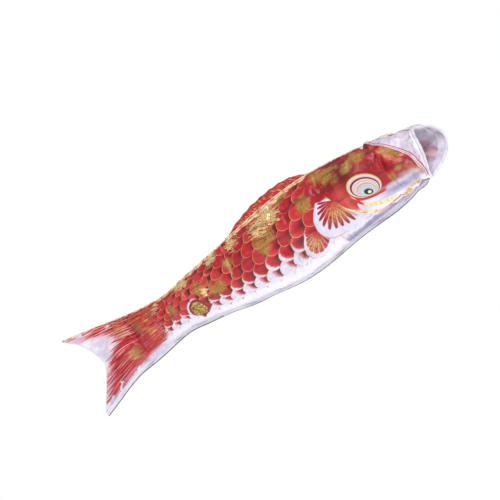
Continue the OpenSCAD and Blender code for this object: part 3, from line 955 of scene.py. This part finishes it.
def flutter(points, s, f):
    """The thin tail waves from side to side and its tips curl."""
    loose = smooth(-s, 740, 925)
    points[..., 1] += loose * 7 * np.sin(-s / 27 + points[..., 2] / 40)
    points[..., 1] -= smooth(-s, 885, 925) * smooth(0.14 - f, 0, 0.14) * 14
    points[..., 1] += smooth(-s, 890, 925) * smooth(f, 0.82, 1) * 12
    return points


# ---- Building the pieces ----

FRONT, MIDDLE, BACK = "front", "middle", "rear"
ZONES = {
    FRONT: dict(start=RIM_S, end=HALF_TRUNK_S, bend=NECK_S, bodies=("head", "trunk")),
    MIDDLE: dict(start=HALF_TRUNK_S, end=HALF_REAR_S, bend=WAIST_S, bodies=("trunk", "rear")),
    BACK: dict(start=HALF_REAR_S, end=FORK_S, bend=TAIL_S, bodies=("rear", "tail")),
}


def zone_rows(stations, zone):
    """First and last row of a grid that lie in a zone."""
    ends = (ZONES[zone][end] - PRINT_LEAD for end in ("start", "end"))
    return tuple(int(np.argmin(np.abs(stations - end))) for end in ends)


def bend_with(obj, zone):
    """Bakes the piece's place into its mesh; the bend of its zone is worked out but not used."""
    bend = ZONES[zone]["bend"]
    start, end = ((bend + BLEND_REACH) * MM, 0, 0), ((bend - BLEND_REACH) * MM, 0, 0)
    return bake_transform(obj)


def zone_nodes(zone, ending):
    return [body + ending for body in ZONES[zone]["bodies"]]


def dress(obj, *materials):
    for material in materials:
        obj.data.materials.append(material)
    return obj


def tube(name, path, radius, sides=10, closed=False, flatten=1.0, up=(0, 0, 1)):
    """A tube round a path of points in mm; flatten scales it across the up direction."""
    path = np.asarray(path, dtype=float)
    if closed:
        ahead = np.roll(path, -1, axis=0) - np.roll(path, 1, axis=0)
    else:
        ahead = np.gradient(path, axis=0)
    ahead /= np.linalg.norm(ahead, axis=1, keepdims=True)
    across = np.cross(ahead, np.asarray(up, dtype=float))
    across /= np.maximum(np.linalg.norm(across, axis=1, keepdims=True), 1e-6)
    over = np.cross(across, ahead)
    turn = np.linspace(0, 2 * math.pi, sides, endpoint=False)
    size = np.broadcast_to(np.asarray(radius, dtype=float).reshape(-1, 1, 1), (len(path), 1, 1))
    rings = (path[:, None] + size * (across[:, None] * (np.cos(turn) * flatten)[None, :, None]
                                     + over[:, None] * np.sin(turn)[None, :, None]))
    points = rings.reshape(-1, 3)
    count = len(path)
    faces = []
    for i in range(count if closed else count - 1):
        for k in range(sides):
            a, b = i * sides + k, i * sides + (k + 1) % sides
            c, d = ((i + 1) % count) * sides + (k + 1) % sides, ((i + 1) % count) * sides + k
            faces.append((a, b, c, d))
    if not closed:
        faces.append(tuple(range(sides))[::-1])
        faces.append(tuple((count - 1) * sides + k for k in range(sides)))
    length = np.concatenate([[0], np.cumsum(np.linalg.norm(np.diff(path, axis=0), axis=1))])
    pairs = np.stack([np.repeat(length, sides), np.tile(turn * float(size.max()), count)], axis=-1) * MM
    return new_object(name, points, faces, {"print": pairs, "share": pairs * 0})


def strip(name, lower, upper, thickness):
    """An upright strip of cloth between two edges, thick across the body."""
    grid = np.stack([lower + (upper - lower) * t for t in np.linspace(0, 1, 6)], axis=1)
    across = np.array([0, 1.0, 0]) * thickness / 2
    s = np.linspace(0, 1, len(lower))[:, None] * np.linalg.norm(lower[-1] - lower[0])
    height = np.linspace(0, 1, 6)[None, :] * float(np.linalg.norm(upper[-1] - lower[-1]))
    pairs = np.stack(np.broadcast_arrays(s, height), axis=-1) * MM
    normals = np.broadcast_to(np.array([0, -1.0, 0]), grid.shape)
    return shell(name, grid - across, normals, {"print": pairs, "share": pairs * 0}, thickness)


def stitches(name, path, out, length=2.4, gap=1.3, radius=0.28):
    """A row of thread stitches along a path; out points away from the cloth at each point."""
    steps = np.linalg.norm(np.diff(path, axis=0), axis=1)
    along = np.concatenate([[0], np.cumsum(steps)])
    starts = np.arange(gap, along[-1] - length, length + gap)
    points, faces = [], []
    sides = 6
    turn = np.linspace(0, 2 * math.pi, sides, endpoint=False)

    def place(distances, table):
        return np.stack([np.interp(distances, along, table[:, k]) for k in range(3)], axis=-1)

    profile_t = np.array([0.0, 0.12, 0.5, 0.88, 1.0])
    lift = np.array([-0.25, 0.12, 0.3, 0.12, -0.25])
    for start in starts:
        centre = place(start + profile_t * length, path)
        away = place(start + profile_t * length, out)
        away /= np.linalg.norm(away, axis=1, keepdims=True)
        ahead = centre[-1] - centre[0]
        ahead /= np.linalg.norm(ahead)
        side = np.cross(ahead, away)
        base = len(points)
        for middle, normal, across, high in zip(centre, away, side, lift):
            for angle in turn:
                points.append(middle + normal * (high + radius * math.sin(angle))
                              + across * radius * math.cos(angle))
        for ring in range(len(profile_t) - 1):
            for k in range(sides):
                a, b = base + ring * sides + k, base + ring * sides + (k + 1) % sides
                faces.append((a, b, b + sides, a + sides))
        last = base + (len(profile_t) - 1) * sides
        faces.append(tuple(base + k for k in range(sides))[::-1])
        faces.append(tuple(last + k for k in range(sides)))
    pairs = np.asarray(points)[:, [0, 2]] * MM
    return new_object(name, points, faces, {"print": pairs, "share": pairs * 0})


def left_from_right(points):
    """The left side mirrors the right one, but its rim stands further forward."""
    left = points * np.array([1, -1, 1])
    round_side = np.sin(np.linspace(0, math.pi, points.shape[1]))**1.3
    left[..., 0] += (LEFT_BULGE - RIGHT_BULGE) * round_side * smooth(points[..., 0], -70, 0)
    return left


def make_sides():
    """Both sides of the skin: their outer points, pushed out along their normals by the relief, and the
    print coordinates.
    """
    rest, cloth = side_grid()
    sides = {"right": rest, "left": left_from_right(rest)}
    moved = simulate(sides["right"], sides["left"])
    made = {}
    for seed, (side, blown) in enumerate(zip(("right", "left"), moved)):
        outward = grid_normals(sides[side]) * (-1 if side == "right" else 1)
        points, fine, out = sides[side] + blown, cloth, outward
        for axis in (0, 1):
            points, fine, out = refine(points, axis), refine(fine, axis), refine(out, axis)
        points = points + out * relief(fine, 20 + 10 * seed)[..., None]
        made[side] = points
    seam = (made["right"][:, [0, -1]] + made["left"][:, [0, -1]]) / 2
    seam[..., 1] = 0
    for side, points in made.items():
        points[:, [0, -1]] = seam
        flutter(points, fine[..., 0], fine[..., 2])
    return made, fine


def add_skin(made, cloth, outer, reverse):
    """Printed satin panels, three to a side, one in each zone."""
    skins = {}
    for side, points in made.items():
        normals = grid_normals(points) * (-1 if side == "right" else 1)
        for zone in ZONES:
            first, last = zone_rows(cloth[:, 0, 0], zone)
            rows = slice(first, last + 1)
            uvs = {"print": cloth[rows, :, :2] * MM,
                   "share": np.stack([cloth[rows, :, 2]] * 2, axis=-1)}
            obj = shell(f"{zone}_skin_{side}", points[rows], normals[rows], uvs)
            dress(obj, outer, reverse)
            bend_with(obj, zone)
            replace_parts(obj, *zone_nodes(zone, f"_panel_{side}"))
            skins[side, zone] = obj
    return skins


def flat_size(cloth, zone):
    """Area, width and length of a zone's panel as it is cut, in metres."""
    first, last = zone_rows(cloth[:, 0, 0], zone)
    cloth = cloth[first:last + 1]
    girth = np.abs(cloth[:, 0, 1]) * 2
    lengths = -np.diff(cloth[:, 0, 0])
    area = float(np.sum((girth[1:] + girth[:-1]) / 2 * lengths)) * MM * MM
    return area, float(girth.max()) * MM, float(lengths.sum()) * MM


def add_seams(made, cloth, piping, allowance, thread):
    """Gold piping along the back and the sewn allowance that hangs along the belly."""
    found = {}
    for zone in ZONES:
        first, last = zone_rows(cloth[:, 0, 0], zone)
        back = made["right"][first:last + 1, 0]
        belly = made["right"][first:last + 1, -1]
        s = cloth[first:last + 1, 0, 0]
        cord = tube(f"{zone}_back_piping_cloth", back + np.array([0, 0, PIPING_H * 0.45]),
                    PIPING_H * 0.55, 10, flatten=0.55)
        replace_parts(dress(cord, piping), *zone_nodes(zone, "_back_piping"))
        drop = FLANGE_H + 1.5 * waves(s / 120, 0, 51)
        drop = drop * smooth(-s, 23, 42)
        lower = belly.copy()
        lower[:, 2] -= drop
        lower[:, 1] += waves(s / 46, 0, 52) * 2.2 * smooth(-s, 30, 60)
        top = belly + np.array([0, 0, 0.6])
        flange = strip(f"{zone}_belly_flange", top, lower, 0.9)
        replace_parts(dress(flange, allowance, allowance), *zone_nodes(zone, "_belly_seam"))
        sewn = [cord, flange]
        inside = s < -44
        line = (belly * 0.72 + lower * 0.28)[inside]
        for side, sign in (("right", -1), ("left", 1)):
            away = np.broadcast_to(np.array([0, sign, 0.0]), line.shape)
            row = stitches(f"{zone}_belly_stitches_{side}", line + away * 0.45, away)
            dress(row, thread)
            sewn.append(row)
        for obj in sewn:
            bend_with(obj, zone)
        found[zone] = sewn
    return found


def rim_ring(made, row, inset):
    """The closed line round the mouth at one row of the skin, set in from it."""
    ring = np.concatenate([made["right"][row], made["left"][row, -2:0:-1]])
    centre = ring.mean(axis=0)
    out = ring - centre
    out[:, 0] = 0
    out /= np.linalg.norm(out, axis=1, keepdims=True)
    return ring - out * inset, out


def add_mouth(made, cloth, satin, wire, metal, thread):
    """The hem rolled round the hoop, the hoop and its sleeve, the facing inside and its stitches."""
    rim, out = rim_ring(made, 0, 3.0)
    rim[:, 0] += 2.5
    puff = 3.6 + 0.35 * waves(np.arange(len(rim)) / 9.0, 0, 61)
    hem = tube("mouth_hem_roll", rim, puff, 16, closed=True, up=(1, 0, 0))
    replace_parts(dress(hem, satin), "hoop_casing")
    rod = tube("mouth_spring_rod", rim, 1.75, 10, closed=True, up=(1, 0, 0))
    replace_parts(dress(rod, wire), "mouth_hoop")
    low = len(rim) // 2
    sleeve = tube("mouth_rod_sleeve", rim[low - 5:low + 6], 2.6, 12, up=(1, 0, 0))
    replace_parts(dress(sleeve, metal), "hoop_sleeve")
    stations = cloth[:, 0, 0] + PRINT_LEAD
    rows = [int(np.argmin(np.abs(stations - s))) for s in (-3, -7, -11, -15, -19)]
    facing_rows = [rim_ring(made, row, 1.2)[0] for row in rows]
    facing = np.stack([np.concatenate([ring, ring[:1]]) for ring in facing_rows])
    normals = np.stack([np.concatenate([out, out[:1]])] * len(rows))
    around = np.linspace(0, 2 * math.pi * 62, facing.shape[1])
    deep = np.arange(len(rows)) * -4.0
    pairs = np.stack(np.meshgrid(around, deep), axis=-1) * MM
    band = shell("mouth_facing", facing, normals, {"print": pairs, "share": pairs * 0}, 0.5)
    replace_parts(dress(band, satin, satin), "mouth_band")
    line, away = rim_ring(made, rows[2], -0.1)
    line, away = np.concatenate([line, line[:1]]), np.concatenate([away, away[:1]])
    row = dress(stitches("mouth_hem_stitches", line, away), thread)
    for obj in (hem, rod, sleeve, band, row):
        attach(obj, "head")
    return [hem, band, row]


def add_fin(made, cloth, outer):
    """The scalloped fin that stands up along the back from its sewn edge."""
    stations = cloth[:, 0, 0] + PRINT_LEAD
    t = np.linspace(0, 1, 181)
    s = FIN_START + (FIN_END - FIN_START) * t
    order = np.argsort(stations)
    seam = made["right"][order, 0]
    back = np.stack([np.interp(s, stations[order], seam[:, k]) for k in range(3)], axis=-1)
    plain = FIN_H * (1 - t**4.5) * (1 - (1 - t)**8)
    height = plain - 2 * np.abs(np.cos(math.pi * FIN_SCALLOPS * t)) * plain / FIN_H
    base = PIPING_H + 0.6
    rise = np.linspace(0, 1, 13)
    up = base + np.maximum(0.6, height - base)[:, None] * rise[None, :]
    points = np.repeat(back[:, None], len(rise), axis=1)
    points[..., 2] += up
    wave = np.sin(t * math.pi * FIN_SCALLOPS)[:, None] * 1.3 + waves(t * 5, 0, 71)[:, None] * 2.4
    points[..., 1] += wave * rise[None, :]**1.3
    normals = grid_normals(points)
    normals *= np.sign(-normals[..., 1:2])
    pairs = np.stack(np.broadcast_arrays(s[:, None], up), axis=-1) * MM
    share = np.stack(np.broadcast_arrays(t[:, None], rise[None, :]), axis=-1)
    fin = shell("dorsal_fin_cloth", points, normals, {"print": pairs, "share": share}, 0.5)
    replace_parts(dress(fin, outer, outer), "dorsal_fin")
    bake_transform(fin)
    return fin


def add_tail_hems(made, satin):
    """The rolled hem along the fork on each side."""
    found = []
    for side, points in made.items():
        sign = -1 if side == "right" else 1
        edge = points[-1] + np.array([0, sign * 0.2, 0])
        hem = tube(f"tail_fork_hem_{side}", edge, 1.1, 8, up=(0, 1, 0))
        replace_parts(dress(hem, satin), f"tail_hem_{side}")
        found.append(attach(hem, "tail"))
    return found


# ---- Other materials ----

def fin_satin():
    """Red satin with gold and olive streaks that run up from the seam, and a dark edge."""
    c = Cloth("fin_satin")
    rise = c.uv("share")[1]
    streak = c.noise(c.vector(c.s / 9.0, rise * 1.2), 1.0, 3.0)
    c.paint(CRIMSON)
    c.paint(SCARLET, step(streak, 0.42, 0.6) * 0.8)
    sparks = c.noise(c.vector(c.s / 6.0 + rise * 2.0, rise * 2.0), 4.0, 3.0)
    gold = step(sparks, 0.52, 0.62) * step(rise, 1.0, 0.6)
    c.paint(GOLD, gold * 0.9)
    c.paint(OLIVE, step(c.noise(c.vector(c.s / 12.0, rise * 1.5), 6.0), 0.56, 0.68) * 0.8)
    c.paint(MAROON, step(rise, 0.86, 0.96) * 0.85)
    c.foil = gold
    return c.finish(crumple=0.3)


def reverse_satin():
    """The cloth's inner face, where the print only shows through faintly."""
    c = Cloth("reverse_satin")
    c.paint(srgb(228, 222, 236))
    c.paint(srgb(188, 178, 202), step(c.grain(46.0, 16.0, 1.0, 3.0, lean=50.0), 0.42, 0.62) * 0.8)
    printed = step(head_edge(c), 6.0, 16.0) * step(c.f, 0.72, 0.6)
    c.paint(srgb(216, 138, 148), printed * step(c.speckle(30.0, 2.0, 3.0), 0.3, 0.7) * 0.75)
    return c.finish(roughness=0.5, crumple=0.6)


def piping_cloth():
    """Pale gold cord cover, brown in places."""
    c = Cloth("gold_piping")
    c.paint(srgb(238, 214, 176))
    # Brown patches at random along the cord
    brown_patches = step(c.grain(18.0, 8.0, 1.0, 3.0), 0.45, 0.6)
    c.paint(srgb(176, 96, 66), brown_patches * 0.8)
    c.paint(PALE_GOLD, step(c.grain(9.0, 6.0, 3.0), 0.54, 0.62))
    return c.finish(crumple=0.2, crumple_size=8.0)


def allowance_cloth():
    """The sewn edges along the belly: pale, with a stitched line and painted shade along the lower edge.
    """
    c = Cloth("seam_allowance")
    c.paint(srgb(230, 226, 240))
    c.paint(SEAM_SHADE, step(c.grain(60.0, 6.0, 1.0, 3.0), 0.50, 0.64) * 0.7)
    c.paint(SEAM_SHADE, step(c.s, -215.0, -160.0) * step(c.s, -14.0, -40.0) * 0.6)
    c.paint(WHITE, step(abs(c.v - 2.6), 1.2, 0.6))
    # Painted shade: a dark ragged line along the lower edge, widening into a darker band along the tail's
    # lower lobe
    edge_wobble = c.grain(5.0, FLAT, 5.0, 3.0) * 2.4
    c.paint(EDGE_SHADE, step(c.v + edge_wobble, 10.0, 10.8) * 0.9)
    c.paint(DEEP_EDGE_SHADE, step(c.v + edge_wobble, 5.0, 6.5) * step(c.s, -820.0, -880.0) * 0.9)
    return c.finish(crumple=0.25, crumple_size=9.0)


def metal(name, colour, roughness, scratches=0.12):
    """Drawn or pressed metal with fine marks and slight dulling."""
    material = bpy.data.materials.new(name)
    material.use_nodes = True
    tree = material.node_tree
    shader = tree.nodes["Principled BSDF"]
    shader.inputs["Metallic"].default_value = 1.0
    place = tree.nodes.new("ShaderNodeTexCoord").outputs["Object"]
    marks = tree.nodes.new("ShaderNodeTexNoise")
    marks.inputs["Scale"].default_value = 900.0
    marks.inputs["Detail"].default_value = 4.0
    dull = tree.nodes.new("ShaderNodeTexNoise")
    dull.inputs["Scale"].default_value = 160.0
    for texture in (marks, dull):
        tree.links.new(place, texture.inputs["Vector"])
    tint = tree.nodes.new("ShaderNodeValToRGB")
    tint.color_ramp.elements[0].color = tuple(c * 0.6 for c in colour[:3]) + (1.0,)
    tint.color_ramp.elements[1].color = colour
    tree.links.new(dull.outputs[0], tint.inputs[0])
    tree.links.new(tint.outputs[0], shader.inputs["Base Color"])
    rough = Value(tree, marks.outputs[0]) * scratches + (roughness - scratches / 2)
    tree.links.new(rough.socket, shader.inputs["Roughness"])
    bump = tree.nodes.new("ShaderNodeBump")
    bump.inputs["Strength"].default_value = 0.4
    bump.inputs["Distance"].default_value = 0.05 * MM
    tree.links.new(marks.outputs[0], bump.inputs["Height"])
    tree.links.new(bump.outputs[0], shader.inputs["Normal"])
    return material


# ---- Camera, light and floor ----

LOOK_AT = Vector((-0.452, 0.0, 0.030))
CAMERA_TURN = math.radians(21)      # how far the camera stands towards the head
CAMERA_ROLL = math.radians(33.5)    # the body climbs to the right of the picture
CAMERA_AWAY = 4.0
CAMERA_LENS = 129.5
FLOOR_HALF, FLOOR_Z = 8.0, -1.1


def add_camera():
    data = bpy.data.cameras.new("camera")
    data.lens = CAMERA_LENS
    camera = bpy.data.objects.new("camera", data)
    bpy.context.scene.collection.objects.link(camera)
    away = Vector((math.sin(CAMERA_TURN), -math.cos(CAMERA_TURN), 0))
    level = Vector((math.cos(CAMERA_TURN), math.sin(CAMERA_TURN), 0))
    upright = Vector((0, 0, 1))
    right = level * math.cos(CAMERA_ROLL) - upright * math.sin(CAMERA_ROLL)
    over = level * math.sin(CAMERA_ROLL) + upright * math.cos(CAMERA_ROLL)
    turned = Matrix((right, over, away)).transposed().to_4x4()
    camera.matrix_world = Matrix.Translation(LOOK_AT + away * CAMERA_AWAY) @ turned
    bpy.context.scene.camera = camera


def add_lamp(name, toward, size, power, distance=3.2):
    """A square soft light that shines on the object from a direction."""
    data = bpy.data.lights.new(name, "AREA")
    data.size = size
    data.energy = power
    lamp = bpy.data.objects.new(name, data)
    bpy.context.scene.collection.objects.link(lamp)
    toward = Vector(toward).normalized()
    lamp.location = LOOK_AT + toward * distance
    lamp.rotation_mode = "QUATERNION"
    lamp.rotation_quaternion = toward.to_track_quat("Z", "Y")


def add_surroundings():
    """White studio: soft lights, a white background and a pale floor far below."""
    bpy.context.scene.view_settings.view_transform = "Standard"
    world = bpy.data.worlds.new("studio")
    bpy.context.scene.world = world
    world.use_nodes = True
    tree = world.node_tree
    background = tree.nodes["Background"]
    background.inputs["Color"].default_value = (1, 1, 1, 1)
    seen = Value(tree, tree.nodes.new("ShaderNodeLightPath").outputs["Is Camera Ray"])
    tree.links.new((seen * 0.68 + 0.32).socket, background.inputs["Strength"])
    add_lamp("key", (0.55, -0.5, 0.85), 1.1, 74)
    add_lamp("fill", (-0.7, -0.9, -0.1), 2.4, 14)
    corners = [(x * FLOOR_HALF, y * FLOOR_HALF, FLOOR_Z) for x, y in ((-1, -1), (1, -1), (1, 1), (-1, 1))]
    floor = new_object("floor", np.array(corners) / MM, [(0, 1, 2, 3)])
    paper = bpy.data.materials.new("white_paper")
    paper.use_nodes = True
    shader = paper.node_tree.nodes["Principled BSDF"]
    shader.inputs["Base Color"].default_value = (0.9, 0.9, 0.9, 1)
    shader.inputs["Roughness"].default_value = 0.9
    shader.inputs["Emission Color"].default_value = (1, 1, 1, 1)
    shader.inputs["Emission Strength"].default_value = 0.7
    floor.data.materials.append(paper)


# ---- The whole streamer ----

def build():
    """Makes every piece, gives it its cloth or metal and hides the parts of the frame that it replaces."""
    thread = plain_satin("thread", srgb(232, 228, 236), srgb(200, 196, 212))
    white = plain_satin("white_satin", srgb(232, 226, 238), LAVENDER)
    wire = metal("hoop_wire", srgb(150, 150, 156), 0.35)
    brass = metal("sleeve_brass", srgb(196, 168, 112), 0.4)
    nickel = metal("eyelet_nickel", srgb(206, 204, 200), 0.28)
    made, cloth = make_sides()
    skins = add_skin(made, cloth, printed_satin(), reverse_satin())
    seams = add_seams(made, cloth, piping_cloth(), allowance_cloth(), thread)
    mouth = add_mouth(made, cloth, white, wire, brass, thread)
    add_fin(made, cloth, fin_satin())
    hems = dict(zip(made, add_tail_hems(made, white)))
    for (side, zone), skin in skins.items():
        goes = list(seams[zone]) if side == "right" else []
        goes += mouth if (side, zone) == ("right", FRONT) else []
        goes += [hems[side]] if zone == BACK else []
        area, width, length = flat_size(cloth, zone)
    for obj in bpy.context.scene.objects:
        if str(obj.get("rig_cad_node", "")).endswith("bridle_eyelet"):
            obj.data.materials.clear()
            obj.data.materials.append(nickel)


add_camera()
add_surroundings()
build()
